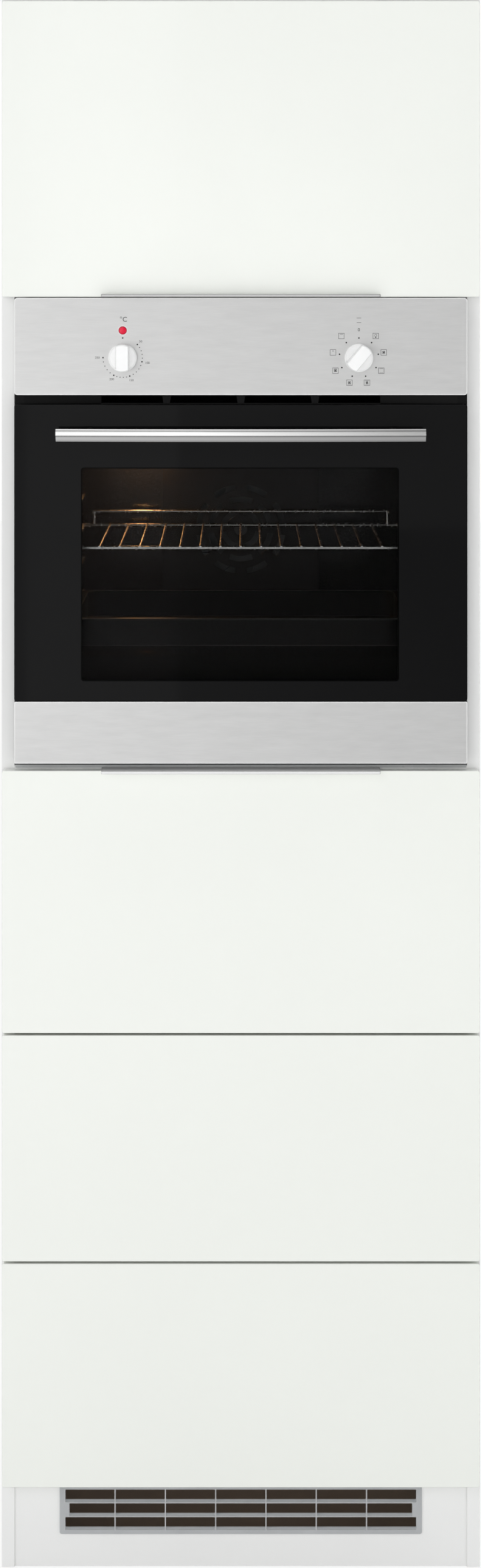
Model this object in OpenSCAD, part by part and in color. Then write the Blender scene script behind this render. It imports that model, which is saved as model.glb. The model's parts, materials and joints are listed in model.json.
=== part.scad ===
// Tall oven housing unit: a 600 mm carcass with a built-in oven between a lift-up
// flap and three pull-outs. Millimetres. Z is up, the fronts face -Y, X is to the right.
// The origin is on the floor, under the middle of the unit's box.

/* [Cabinet] */
// Width over the side panels
unit_w = 600; // [580:1:640]
// Height of the side panels, which stand on the floor
unit_h = 1965; // [1950:1:2100]
// Depth of the side panels
carcass_d = 560; // [550:1:620]
// Thickness of the carcass boards
board_t = 16; // [15:1:19]
// Thickness of the back panels
back_t = 3; // [3:1:6]
// Distance from the back panels to the rear edge of the sides
back_inset = 12; // [8:1:20]
// Depth of the grooves that hold the back panels
groove_d = 8; // [5:1:10]
// Underside of the bottom panel over the floor
plinth_h = 104; // [100:1:140]
// Plinth panel behind the front edges of the sides
plinth_inset = 3; // [2:1:60]

/* [Oven bay] */
// Top of the shelf that carries the oven
bay_z = 1005; // [995:1:1015]
// Clear height of the oven bay
bay_h = 587; // [586:1:600]
// Air gap behind the oven shelf
shelf_air_gap = 45; // [20:1:80]

/* [Fronts] */
// Thickness of the flap and of the pull-out fronts
front_t = 18; // [16:1:20]
// Bumper gap between the carcass and the back of the fronts
bumper_gap = 2; // [2:0.5:3]
// Reveal between a front and the outside of the cabinet
front_reveal = 1.5; // [1:0.5:3]
// Gap between two fronts
front_gap = 3; // [2:0.5:5]
// Corner radius of the fronts
front_r = 2.5; // [1:0.5:4]
// Height of the middle pull-out front
front_2_h = 282; // [260:1:284]
// Height of the lower pull-out front
front_3_h = 279; // [260:1:281]
// Seat of the flap's handle over the oven bay, and top edge of the flap below the top of the sides
flap_reveal = 2.7; // [2.5:0.1:4]

/* [Edge handles] */
// Length of the two edge handles
grip_w = 348; // [200:1:500]
// Reach of an edge handle in front of its front
grip_reach = 16; // [12:1:24]
// Sheet thickness of an edge handle
grip_t = 1.8; // [1:0.1:2]
// Height of the turned lip
grip_lip = 3.4; // [2.5:0.1:6]
// Height of the screwed flange behind the front
grip_flange = 20; // [12:1:30]

/* [Pull-outs] */
// Space between the boxes and the back panel
box_clear = 55; // [45:1:75]
// Height of the steel box sides
box_side_h = 90; // [80:1:120]
// Thickness of the steel box sides
box_side_t = 12; // [10:1:16]
// Thickness of the box bottom and back boards
box_board_t = 12; // [10:1:16]
// Box underside over the lower edge of its front
box_lift = 21; // [20:1:30]
// Gallery rail over the box underside
rail_z = 150; // [140:1:180]
// Diameter of the gallery rail
rail_d = 9; // [8:1:12]
// Space for a runner between the carcass side and the box side
runner_w = 13; // [13:0.5:16]
// Space between the runners and the back panel
runner_clear = 42; // [25:1:60]

/* [Flap fittings] */
// Distance of the flap hinges from the middle of the unit
hinge_x = 190; // [120:1:220]
// Hinge pin in front of the back of the flap
hinge_pin_in = 4; // [3.8:0.1:5]
// Hinge pin below the top edge of the flap
hinge_pin_down = 4; // [3.8:0.1:4.2]
// Distance of the gas struts from the side panels
strut_in = 22; // [22:1:30]
// Strut foot behind the front edge of the sides
strut_foot_y = 200; // [190:1:220]
// Strut foot over the middle of the top compartment
strut_foot_up = 1.5; // [-10:0.5:15]
// Strut head behind the front edge of the sides
strut_head_y = 12; // [12:1:14]
// Strut head below the hinge pin
strut_head_down = 43; // [38:1:50]

/* [Oven] */
// Gap beside the oven's front parts
oven_side_gap = 1; // [1:0.5:4]
// Oven door and panel in front of the side panels' edges
oven_proud = 22; // [20:1:24]
// Height of the control panel
panel_h = 121.3; // [110:0.1:121.5]
// Slot for cooling air between the panel and the door
air_slot_h = 11.9; // [10:0.1:14]
// Height of the steel strip under the door glass
strip_h = 77.1; // [76:0.1:86]
// Lower edge of the door over the shelf
door_lift = 5.6; // [5.6:0.1:8]
// Thickness of the glass panes
glass_t = 4; // [3:0.5:5]
// Width of the window in the door
view_w = 430; // [400:1:440]
// Top of the window below the ceiling of the cavity
view_down = 33; // [28:1:50]
// Width of the cavity
cavity_w = 450; // [440:1:460]
// Ceiling of the cavity below the top of the bay
cavity_down = 169; // [164:1:180]
// Space between the rear of the cavity and the rear of the casing
cavity_clear = 73; // [63:1:83]
// Floor of the cavity over the shelf
cavity_lift = 88; // [85:1:95]
// Sheet thickness of the oven's steel parts
sheet_t = 1.5; // [1.2:0.1:2]
// Lowest shelf level over the cavity floor
level_low = 47.5; // [44:0.5:50]
// Distance between two shelf levels
level_step = 44; // [40:1:46]

/* [Oven door handle] */
// Length of the bar
bar_w = 459; // [400:1:520]
// Height of the bar
bar_h = 16.2; // [14:0.1:24]
// Depth of the bar
bar_t = 12; // [10:0.5:16]
// Front of the bar over the face of the glass
bar_reach = 46; // [40:1:50]
// Bow of the bar, from its ends to its middle
bar_bow = 8; // [4:0.5:12]
// Middle of the bar below the top edge of the door
bar_down = 36.6; // [30:0.1:50]
// Distance of a post from the middle
post_x = 189; // [150:1:200]
// Diameter of the posts
post_d = 13.4; // [10:0.1:16]

/* [Knobs] */
// Distance of the knobs from the middle
knob_x = 147.5; // [120:0.5:200]
// Knobs below the top edge of the panel
knob_down = 74.7; // [60:0.1:76]
// Diameter of a knob
knob_d = 36; // [32:1:40]
// Reach of the grip bar in front of the panel
knob_reach = 26; // [22:1:30]
// Width of the grip bar
knob_bar = 15; // [12:1:18]
// Height of the rim beside the grip bar
knob_rim = 5.5; // [4:0.5:12]
// Rest angle of the function knob, clockwise
function_rest = 40; // [0:40:320]

/* [Plinth grille] */
// Width of the grille
grille_w = 455; // [400:1:480]
// Upper edge of the grille below the bottom panel
grille_down = 2.2; // [2:0.1:10]
// Rows of openings
grille_rows = 3; // [2:1:3]
// Columns of openings
grille_cols = 7; // [5:1:9]
// Height of an opening
grille_cell_h = 16; // [12:0.5:16]
// Thickness of the bars
grille_bar = 1.3; // [1.2:0.1:2]

/* [Hidden] */
$fn = 48;

// Frame: the modules below draw with y = 0 on the front edges of the side panels
overall_d = carcass_d + oven_proud + bar_reach;
face_y = overall_d / 2 - carcass_d;
inner_w = unit_w - 2 * board_t;
inner_x = inner_w / 2;
back_y = carcass_d - back_inset - back_t;
top_z = unit_h - board_t;
box_d = back_y - box_clear;
floor_z = plinth_h + board_t;
shelf_z = bay_z - board_t;
bay_top = bay_z + bay_h;
fit_gap = 0.3;

// Fronts
front_w = unit_w - 2 * front_reveal;
front_back = -bumper_gap;
front_face = front_back - front_t;
flap_top = unit_h - flap_reveal;
flap_z = bay_top + flap_reveal;
flap_low = flap_z - grip_t;
flap_h = flap_top - flap_low;
front_3_z = plinth_h + front_gap;
front_2_z = front_3_z + front_3_h + front_gap;
front_1_z = front_2_z + front_2_h + front_gap;
sill_t = 1;
sill_lip = 2.7;
lip_t = 0.5;
grip_heel = bumper_gap - lip_t - fit_gap;
grip_down = 2;
front_1_h = bay_z - grip_down - grip_t - front_1_z;

// Fixing holes
link_d = 5;
link_y = [60, 500];
link_z = [330, 1640];
wall_d = 7;
wall_pitch = 400;
wall_rail_h = 80;
wall_down = 40;

// Plinth grille
flange_t = 2;
sleeve_in = 3;
sleeve_l = 9;
grille_edge = 5.3;
grille_side = 7;
grille_ear = 12;
grille_pitch = (grille_w - 12.6) / grille_cols;
grille_top = plinth_h - grille_down;
grille_z = grille_top - 2 * grille_edge - grille_rows * grille_cell_h - (grille_rows - 1) * grille_bar;

// Flap hinge: pin axis, and the pocket in the flap that takes the knuckles
pin_y = front_back - hinge_pin_in;
pin_z = flap_top - hinge_pin_down;
pin_d = 4;
knuckle_d = 7;
knuckle_w = 12;
leaf_w = 36;
leaf_h = 28;
leaf_t = 2;
pocket_d = 11;
arm_t = 2;
arm_l = 45;

// Gas strut: foot, head and the line between them when the flap is closed
strut_x = inner_x - strut_in;
strut_foot_z = (bay_top + board_t + top_z) / 2 + strut_foot_up;
foot_t = 3;
foot_w = 32;
foot_h = 48;
head_y = strut_head_y;
head_z = pin_z - strut_head_down;
strut_len = norm([head_y - strut_foot_y, head_z - strut_foot_z]);
strut_angle = atan2(head_z - strut_foot_z, head_y - strut_foot_y);
strut_d = 18;
rod_d = 8;
eye_w = 9;
eye_d = 12;
stud_d = 8;
tube_start = 14;
tube_l = 150;
piston_at = 34;
strut_plate_w = 28;
strut_plate_up = 16;
strut_plate_down = 20;
strut_lug_in = 8;
strut_lug_t = 3;
strut_lug_h = 14;

// Runner profiles, from the carcass side inwards
rail_t = 1.2;
outer_h = 45;
outer_w = 11;
outer_lip = 2.5;
member_gap = 0.5;
runner_y = 3;
runner_l = back_y - runner_y - runner_clear;
runner_up = 30;
middle_h = outer_h - 2 * (rail_t + member_gap);
middle_w = outer_w - 2 * (rail_t + member_gap);
middle_lip = 3.5;
inner_h = middle_h - 2 * (middle_lip + member_gap);

// Oven
oven_w = inner_w - 2 * oven_side_gap;
oven_face = -oven_proud;
panel_gap = 0.3;
panel_top = bay_top - panel_gap;
panel_z = panel_top - panel_h;
door_top = panel_z - air_slot_h;
strip_z = bay_z + door_lift;
strip_top = strip_z + strip_h;
glass_gap = 0.8;
glass_z = strip_top + glass_gap;
glass_back = oven_face + glass_t;
hinge_y = oven_face + 14;
hinge_z = strip_z + 22;
frame_y = 27;
liner_back = frame_y - 8;
liner_z = hinge_z + 9.4;
liner_top = door_top - 7;
liner_w = oven_w - 26;
casing_w = oven_w - 10;
panel_seat = 2;
casing_top = bay_top - 6;
casing_y = frame_y + sheet_t;
casing_back = carcass_d - 30;
vent_x = 150;
vent_w = 120;
vent_h = 8;
vent_up = 40;
vent_pitch = 26;
terminal_w = 70;
terminal_h = 50;
terminal_t = 22;
terminal_up = 60;
cavity_x = cavity_w / 2;
cavity_z = bay_z + cavity_lift;
cavity_top = bay_top - cavity_down;
cavity_h = cavity_top - cavity_z;
cavity_mid_z = cavity_z + cavity_h / 2;
cavity_back = casing_back - cavity_clear;
view_up = 12;
view_z = cavity_z + view_up;
view_top = cavity_top - view_down;
slot_gap = 0.5;
frame_z = bay_z + sill_t;
frame_top = door_top + slot_gap;
frame_w = oven_w;

// Door hinges: fixed arms with an eye each, and brackets under the liner with the pins
arm_x = liner_w / 2 - 26;
arm_w = 8;
arm_eye = 14;
door_pin = 8;
bracket_t = 3;
bracket_in = 7;
bracket_front = 8;
bracket_back = 18;
arm_plate_w = 28;
arm_plate_up = 28;
arm_plate_down = 18;

// Inside the cavity
wire_d = 4;
weld = 0.4;
ladder_x = cavity_x - 7;
ladder_front = 18;
ladder_back = 12;
ladder_leg = 30;
ladder_stud = 6;
level_z = cavity_z + level_low;
rack_level = 3;
tray_level = 1;
rack_z = level_z + rack_level * level_step;
tray_z = level_z + tray_level * level_step;
rack_wire = 5;
rack_bars = 15;
rack_pitch = 25.7;
rack_y = 60;
rack_x = ladder_x + wire_d / 2 - weld - rack_wire / 2 - fit_gap;
fan_z = cavity_mid_z + 8;
fan_d = 150;
cover_w = 216;
cover_h = 236;
cover_y = cavity_back - 30;
rack_clear = 12;
rack_d = cover_y - rack_clear - rack_y;
cover_r = 18;
slot_r = 24;
slot_pitch = 17;
slot_w = 8;
outlet_d = 9;
outlet_pitch = 20;
fan_pin = 6;
motor_d = 84;
motor_l = 46;
lamp_x = -138;
lamp_z = cavity_top - 50;
hub_d = 26;
blade_l = 26;
blade_h = 15;
blade_t = 1.6;
blade_in = 16;
grill_d = 6.5;
grill_pitch = 52;
grill_runs = 6;
grill_y = 90;
grill_end = 70;
grill_down = 20;
seal_out = 8;
seal_w = 6;
seal_t = 3.7;

// Knobs
knob_z = panel_top - knob_down;
knob_gap = 0.6;
shaft_d = 6;
signal_z = knob_z + 34;
signal_d = 10;
switch_w = 40;
switch_l = 34;

// Door handle: the bar is an arc about a far axis behind it
bar_front = oven_face - bar_reach;
bar_z = door_top - bar_down;
bar_r = (pow(bar_w / 2, 2) + pow(bar_bow, 2)) / (2 * bar_bow);
seat_x = post_d / 2 + 1;
seat_y = bar_front + bar_r - sqrt(pow(bar_r, 2) - pow(post_x - seat_x, 2)) + bar_t - 0.2;

// Shared forms
module at_face() { translate([0, face_y, 0]) children(); }

// Box between two corners
module block(low, high) { translate(low) cube(high - low); }

module both_sides() {
    children();
    mirror([1, 0, 0]) children();
}

// Round bars along an axis
module rod_x(x0, x1, d) { translate([x0, 0, 0]) rotate([0, 90, 0]) cylinder(d = d, h = x1 - x0); }
module rod_y(y0, y1, d) { translate([0, y0, 0]) rotate([-90, 0, 0]) cylinder(d = d, h = y1 - y0); }
module rod_z(z0, z1, d) { translate([0, 0, z0]) cylinder(d = d, h = z1 - z0); }

// Profiles drawn in (y, z) and run along x, or drawn in (x, z) and run along y
module along_x(x0, x1) { translate([x0, 0, 0]) rotate([90, 0, 90]) linear_extrude(x1 - x0) children(); }
module along_y(y0, y1) { translate([0, y1, 0]) rotate([90, 0, 0]) linear_extrude(y1 - y0) children(); }

module rounded_rect(w, h, r) {
    square([w - 2 * r, h], center = true);
    square([w, h - 2 * r], center = true);
    for (sx = [-1, 1], sy = [-1, 1])
        translate([sx * (w / 2 - r), sy * (h / 2 - r)]) circle(r = r);
}

// Upright plate, centred on x
module plate(w, z0, z1, y0, y1, r) {
    along_y(y0, y1) translate([0, (z0 + z1) / 2]) rounded_rect(w, z1 - z0, r);
}

// Level plate with rounded corners
module tray_plate(x, y0, y1, z0, z1, r) {
    translate([0, (y0 + y1) / 2, z0]) linear_extrude(z1 - z0) rounded_rect(2 * x, y1 - y0, r);
}

// Cabinet
module side_right_form() {
    difference() {
        block([inner_x, 0, 0], [inner_x + board_t, carcass_d, unit_h]);
        block([inner_x - 1, back_y, plinth_h], [inner_x + groove_d, back_y + back_t, unit_h + 1]);
        for (y = link_y, z = link_z) translate([0, y, z]) rod_x(inner_x - 1, inner_x + board_t + 1, link_d);
    }
}

module side_right() { color("white") at_face() side_right_form(); }

module side_left() { color("white") at_face() mirror([1, 0, 0]) side_right_form(); }

module level_board(z, depth) { block([-inner_x, 0, z], [inner_x, depth, z + board_t]); }

module top_panel() { color("white") at_face() level_board(top_z, back_y); }

module bottom_panel() { color("white") at_face() level_board(plinth_h, back_y); }

module oven_shelf() { color("white") at_face() level_board(shelf_z, back_y - shelf_air_gap); }

module upper_shelf() { color("white") at_face() level_board(bay_top, back_y); }

module wall_holes() {
    for (x = [-1, 1])
        translate([x * wall_pitch / 2, 0, top_z - wall_down]) rod_y(back_y - board_t - 1, carcass_d, wall_d);
}

module back_panels() {
    x = inner_x + groove_d - fit_gap;
    color("gainsboro") at_face() {
        block([-x, back_y, plinth_h], [x, back_y + back_t, bay_z]);
        difference() {
            block([-x, back_y, bay_top], [x, back_y + back_t, unit_h]);
            wall_holes();
        }
    }
}

module wall_rail() {
    color("white") at_face() difference() {
        block([-inner_x, back_y - board_t, top_z - wall_rail_h], [inner_x, back_y, top_z]);
        wall_holes();
    }
}

module plinth_panel() {
    x = grille_w / 2 - sleeve_in + fit_gap;
    color("white") at_face() difference() {
        block([-inner_x, plinth_inset, 0], [inner_x, plinth_inset + board_t, plinth_h]);
        block([-x, plinth_inset - 1, grille_z + sleeve_in - fit_gap],
              [x, plinth_inset + board_t + 1, grille_top - sleeve_in + fit_gap]);
    }
}

// Flange on the panel, a sleeve in its opening, and rows of openings between thin bars
module plinth_grille() {
    color("darkgray") at_face() difference() {
        union() {
            plate(grille_w, grille_z, grille_top, plinth_inset - flange_t, plinth_inset, 3);
            block([sleeve_in - grille_w / 2, plinth_inset - 1, grille_z + sleeve_in],
                  [grille_w / 2 - sleeve_in, plinth_inset + sleeve_l, grille_top - sleeve_in]);
        }
        for (row = [0:grille_rows - 1], col = [0:grille_cols - 1])
            grille_cell(row, col, grille_z + grille_edge + row * (grille_cell_h + grille_bar));
    }
}

// One opening; the end columns run out to the frame, less on the middle row
module grille_cell(row, col, z) {
    mid = (grille_cols - 1) / 2;
    end_x = grille_w / 2 - (row == 1 ? grille_ear : grille_side);
    left = (col - mid - 0.5) * grille_pitch + grille_bar / 2;
    right = (col - mid + 0.5) * grille_pitch - grille_bar / 2;
    x0 = col == 0 ? -end_x : left;
    x1 = col == grille_cols - 1 ? end_x : right;
    translate([(x0 + x1) / 2, 0, 0])
        plate(x1 - x0, z, z + grille_cell_h, plinth_inset - flange_t - 1, plinth_inset + sleeve_l + 1, 0.8);
}

// Fronts and their handles
module front_panel(z, h) {
    plate(front_w, z, z + h, front_face, front_back, front_r);
}

// Edge handle in (y, z) with its plate on top of z = 0; sign -1 turns it over for the flap
module grip_profile(sign) {
    tip = front_face - grip_reach;
    heel = front_back + grip_heel;
    points = [
        [tip, -grip_lip + grip_t], [tip, grip_t - 0.5], [tip + 0.5, grip_t], [heel, grip_t],
        [heel, -grip_flange], [front_back, -grip_flange], [front_back, 0],
        [tip + 1.4, 0], [tip + 1.4, -grip_lip + grip_t]
    ];
    polygon([for (p = points) [p[0], sign * p[1]]]);
}

// The ends are rounded in plan
module edge_grip(z, sign) {
    depth = front_t + grip_reach + grip_heel;
    translate([0, 0, z]) intersection() {
        along_x(-grip_w / 2, grip_w / 2) grip_profile(sign);
        translate([0, front_face - grip_reach + depth / 2, -2 * grip_flange])
            linear_extrude(4 * grip_flange) rounded_rect(grip_w, depth, 2);
    }
}

// Flap
module flap_front() {
    color("honeydew") at_face() difference() {
        front_panel(flap_low, flap_h);
        both_sides() block([hinge_x - leaf_w / 2 - 2, front_back - pocket_d, flap_top - leaf_h - 4],
                           [hinge_x + leaf_w / 2 + 2, front_back + 1, flap_top + 1]);
        // Rebate for the plate of the handle
        block([-grip_w / 2 - fit_gap, front_face - 1, flap_low - 1], [grip_w / 2 + fit_gap, front_back + 1, flap_z]);
    }
}

module flap_handle() { color("silver") at_face() edge_grip(flap_z, -1); }

// Leaf in the pocket, with two eyes and the pin that the arm turns on
module flap_hinge_leaves() {
    pocket_y = front_back - pocket_d;
    eye_w1 = 6;
    color("silver") at_face() both_sides() translate([hinge_x, 0, 0]) {
        block([-leaf_w / 2, pocket_y, flap_top - leaf_h - 2], [leaf_w / 2, pocket_y + leaf_t, flap_top - 1]);
        for (side = [-1, 1]) {
            x0 = side * (knuckle_w / 2 + fit_gap + eye_w1 / 2) - eye_w1 / 2;
            translate([0, pin_y, pin_z]) rod_x(x0, x0 + eye_w1, knuckle_d);
            block([x0, pocket_y + leaf_t / 2, pin_z - knuckle_d / 2], [x0 + eye_w1, pin_y, pin_z + knuckle_d / 2]);
        }
        translate([0, pin_y, pin_z]) rod_x(-knuckle_w, knuckle_w, pin_d);
    }
}

// Cranked arm: knuckle, upright in the bumper gap, and a foot under the top panel
module flap_hinge_arms() {
    front = -0.2 - arm_t;
    color("silver") at_face() both_sides() translate([hinge_x, 0, 0]) difference() {
        union() {
            translate([0, pin_y, pin_z]) rod_x(-knuckle_w / 2, knuckle_w / 2, knuckle_d);
            block([-knuckle_w / 2, pin_y, pin_z - 2], [knuckle_w / 2, -0.2, pin_z + 2]);
            block([-knuckle_w / 2, front, top_z - arm_t], [knuckle_w / 2, -0.2, pin_z]);
            block([-knuckle_w / 2, front, top_z - arm_t], [knuckle_w / 2, 6, top_z - 0.01]);
            block([-leaf_w / 2, 4, top_z - arm_t], [leaf_w / 2, arm_l, top_z]);
        }
        translate([0, pin_y, pin_z]) rod_x(-knuckle_w, knuckle_w, pin_d + 0.2);
    }
}

module strut_frame() { translate([0, strut_foot_y, strut_foot_z]) rotate([strut_angle, 0, 0]) children(); }

// Plate and stud on the carcass side
module strut_feet() {
    color("silver") at_face() both_sides() translate([0, strut_foot_y, strut_foot_z]) {
        block([inner_x - foot_t, -foot_w / 2, -foot_h / 2], [inner_x, foot_w / 2, foot_h / 2]);
        rod_x(strut_x - eye_w / 2 - 2, inner_x - foot_t / 2, stud_d);
    }
}

module strut_cylinders() {
    tube_end = tube_start + tube_l;
    color("dimgray") at_face() both_sides() translate([strut_x, 0, 0]) strut_frame() difference() {
        union() {
            rod_x(-eye_w / 2, eye_w / 2, eye_d + 2);
            block([-3, 0, -5], [3, tube_start + 1, 5]);
            rod_y(tube_start, tube_end, strut_d);
        }
        rod_x(-eye_w, eye_w, stud_d + 0.2);
        rod_y(tube_start + 4, tube_end - 6, strut_d - 3);
        rod_y(tube_end - 7, tube_end + 1, rod_d + 0.4);
    }
}

module strut_rods() {
    color("lightgray") at_face() both_sides() translate([strut_x, 0, 0]) strut_frame() difference() {
        union() {
            rod_y(piston_at, strut_len - stud_d / 2 - 1, rod_d);
            rod_y(piston_at, piston_at + 12, strut_d - 3.6);
            translate([0, strut_len, 0]) rod_x(-eye_w / 2, eye_w / 2, eye_d);
        }
        translate([0, strut_len, 0]) rod_x(-eye_w, eye_w, stud_d + 0.2);
    }
}

// Bracket on the back of the flap; its stud ends just short of the eye on the rod
module strut_brackets() {
    stud_end = strut_x - eye_w / 2 - fit_gap;
    lug_x = stud_end - strut_lug_in;
    plate_x = lug_x + strut_lug_t + 1;
    half = strut_lug_h / 2;
    color("silver") at_face() both_sides() {
        block([plate_x - strut_plate_w, front_back, head_z - strut_plate_down],
              [plate_x, front_back + 2, head_z + strut_plate_up]);
        block([lug_x, front_back + 1, head_z - half], [lug_x + strut_lug_t, head_y + 6, head_z + half]);
        translate([0, head_y, head_z]) rod_x(lug_x + 1, stud_end, stud_d);
    }
}

// Runner profiles in (distance from the carcass side, height over the runner's middle)
module channel(u0, u1, half, lip) {
    difference() {
        translate([u0, -half]) square([u1 - u0, 2 * half]);
        translate([u0 + rail_t, -half + rail_t]) square([u1 - u0 - 2 * rail_t, 2 * (half - rail_t)]);
        translate([u1 - 2 * rail_t, -half + lip]) square([3 * rail_t, 2 * (half - lip)]);
    }
}

// Runs a profile along y on both sides of the cabinet
module on_sides(z, y0, y1) {
    both_sides() translate([inner_x, 0, z]) along_y(y0, y1) mirror([1, 0]) children();
}

function box_z(front_z) = front_z + box_lift;

module runner_outer(front_z) {
    on_sides(box_z(front_z) + runner_up, runner_y, runner_y + runner_l)
        channel(0, outer_w, outer_h / 2, outer_lip);
}

module runner_middle(front_z) {
    u0 = rail_t + member_gap;
    color("silver") at_face() on_sides(box_z(front_z) + runner_up, runner_y, runner_y + runner_l)
        channel(u0, u0 + middle_w, middle_h / 2, middle_lip);
}

// Steel box side with its runner member, a post and the gallery rail
module box_sides(front_z) {
    z = box_z(front_z);
    u_in = 2 * (rail_t + member_gap) + 1;
    color("lightgray") at_face() {
        on_sides(z, front_back, box_d) {
            translate([runner_w, 0]) square([box_side_t, box_side_h]);
            translate([0, runner_up]) difference() {
                translate([u_in, -inner_h / 2]) square([runner_w - u_in + 1, inner_h]);
                translate([u_in - 1, -inner_h / 2 + rail_t])
                    square([runner_w - u_in - rail_t + 1, inner_h - 2 * rail_t]);
            }
        }
        both_sides() translate([inner_x - runner_w - box_side_t / 2, 0, z]) {
            translate([0, 0, rail_z]) rod_y(front_back, box_d, rail_d);
            block([-3, box_d - 14, box_side_h - 1], [3, box_d, rail_z]);
        }
    }
}

module box_bottom(front_z) {
    z = box_z(front_z) + 5;
    x = inner_x - runner_w - box_side_t;
    color("white") at_face()
        block([-x, front_back, z], [x, box_d - box_board_t, z + box_board_t]);
}

module box_back(front_z) {
    z = box_z(front_z) + 5;
    x = inner_x - runner_w - box_side_t;
    color("white") at_face()
        block([-x, box_d - box_board_t, z], [x, box_d, z + rail_z + 8]);
}

module drawer_front(z, h) { color("honeydew") at_face() front_panel(z, h); }

module drawer_1_front() { drawer_front(front_1_z, front_1_h); }
module drawer_1_handle() { color("silver") at_face() edge_grip(front_1_z + front_1_h, 1); }
module drawer_1_sides() { box_sides(front_1_z); }
module drawer_1_bottom() { box_bottom(front_1_z); }
module drawer_1_back() { box_back(front_1_z); }
module drawer_1_slides() { runner_middle(front_1_z); }
module drawer_2_front() { drawer_front(front_2_z, front_2_h); }
module drawer_2_sides() { box_sides(front_2_z); }
module drawer_2_bottom() { box_bottom(front_2_z); }
module drawer_2_back() { box_back(front_2_z); }
module drawer_2_slides() { runner_middle(front_2_z); }
module drawer_3_front() { drawer_front(front_3_z, front_3_h); }
module drawer_3_sides() { box_sides(front_3_z); }
module drawer_3_bottom() { box_bottom(front_3_z); }
module drawer_3_back() { box_back(front_3_z); }
module drawer_3_slides() { runner_middle(front_3_z); }

module cabinet_runners() {
    color("silver") at_face() for (z = [front_1_z, front_2_z, front_3_z]) runner_outer(z);
}

// Oven body
module oven_casing() {
    x = casing_w / 2;
    color("darkgray") at_face() {
        difference() {
            block([-x, casing_y, bay_z], [x, casing_back, casing_top]);
            block([-x + sheet_t, casing_y - 1, bay_z + sheet_t],
                  [x - sheet_t, casing_back - sheet_t, casing_top - sheet_t]);
            for (col = [-1, 1], row = [0:7])
                translate([col * vent_x, 0, cavity_z + vent_up + row * vent_pitch])
                    plate(vent_w, 0, vent_h, casing_back - 5, casing_back + 5, vent_h / 2 - 0.1);
        }
        sill();
        // Cover over the mains terminals
        translate([casing_w / 4, casing_back, bay_z + terminal_up]) cube([terminal_w, terminal_t, terminal_h]);
    }
}

// Sill in front of the casing, with a lip over the edge of the shelf
module sill() {
    block([-frame_w / 2, 0, bay_z], [frame_w / 2, casing_y, bay_z + sill_t]);
    block([-frame_w / 2, -lip_t, bay_z - sill_lip], [frame_w / 2, 0, bay_z + sill_t]);
    block([-casing_w / 2, casing_y - 1, bay_z], [casing_w / 2, casing_y + 1, bay_z + sill_t]);
}

// Enamelled box with the front frame that the door closes on
module oven_cavity() {
    color("darkslategray") at_face() difference() {
        union() {
            plate(frame_w, frame_z, frame_top, frame_y, frame_y + sheet_t, 0.5);
            block([-cavity_x - sheet_t, frame_y, cavity_z - sheet_t],
                  [cavity_x + sheet_t, cavity_back + sheet_t, cavity_top + sheet_t]);
        }
        block([-cavity_x, frame_y - 1, cavity_z], [cavity_x, cavity_back, cavity_top]);
        translate([0, 0, fan_z]) rod_y(cavity_back - 1, cavity_back + 5, fan_pin + 2);
    }
}

module door_seal() {
    w = cavity_w + 2 * seal_out;
    h = cavity_h + 2 * seal_out;
    color("black") at_face() difference() {
        plate(w, cavity_mid_z - h / 2, cavity_mid_z + h / 2, frame_y - seal_t, frame_y, 12);
        plate(w - 2 * seal_w, cavity_mid_z - h / 2 + seal_w, cavity_mid_z + h / 2 - seal_w,
              frame_y - 5, frame_y + 1, 12 - seal_w);
    }
}

// Wire ladders on both walls, one rung under each level
module side_racks() {
    y0 = frame_y + ladder_front;
    y1 = cavity_back - ladder_back;
    low = level_z - level_step / 2;
    high = level_z + 4.5 * level_step;
    color("silver") at_face() both_sides() translate([ladder_x, 0, 0]) {
        for (level = [0:4])
            translate([0, 0, level_z + level * level_step - rack_wire / 2 - wire_d / 2 - fit_gap])
                rod_y(y0, y1, wire_d);
        for (y = [y0 + ladder_leg, y1 - ladder_leg]) translate([wire_d - weld, y, 0]) {
            rod_z(low, high, wire_d);
            for (z = [low + ladder_stud, high - ladder_stud])
                translate([0, 0, z]) rod_x(0, cavity_x - ladder_x - wire_d + weld, wire_d + 1);
        }
    }
}

module wire_rack() {
    x = rack_x;
    back = rack_y + rack_d;
    guard_x = 202;
    guard_z = rack_z + 19;
    bar_d = 3;
    color("silver") at_face() {
        both_sides() {
            translate([x, 0, rack_z]) rod_y(rack_y, back, rack_wire);
            translate([x, rack_y, rack_z]) sphere(d = rack_wire);
            translate([x, back, rack_z]) sphere(d = rack_wire);
            translate([guard_x, back, 0]) rod_z(rack_z, guard_z, rack_wire - 1);
            translate([guard_x, back, guard_z]) sphere(d = rack_wire - 1);
        }
        for (y = [rack_y, back]) translate([0, y, rack_z]) rod_x(-x, x, rack_wire);
        translate([0, back, guard_z]) rod_x(-guard_x, guard_x, rack_wire - 1);
        for (i = [0:rack_bars - 1])
            translate([(i - (rack_bars - 1) / 2) * rack_pitch, 0, rack_z + 1.5])
                rod_y(rack_y - 4, back + 1, bar_d);
    }
}

module baking_tray() {
    rim_z = tray_z - rack_wire / 2;
    depth = 34;
    y0 = rack_y - 8;
    y1 = rack_y + rack_d - 4;
    x = cavity_x - 14;
    color("dimgray") at_face() difference() {
        union() {
            tray_plate(rack_x + 1, y0, y1, rim_z, rim_z + sheet_t, 14);
            tray_plate(x, y0 + 10, y1 - 10, rim_z - depth, rim_z + sheet_t, 22);
        }
        tray_plate(x - sheet_t, y0 + 10 + sheet_t, y1 - 10 - sheet_t, rim_z - depth + sheet_t, rim_z + 3, 20);
    }
}

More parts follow.
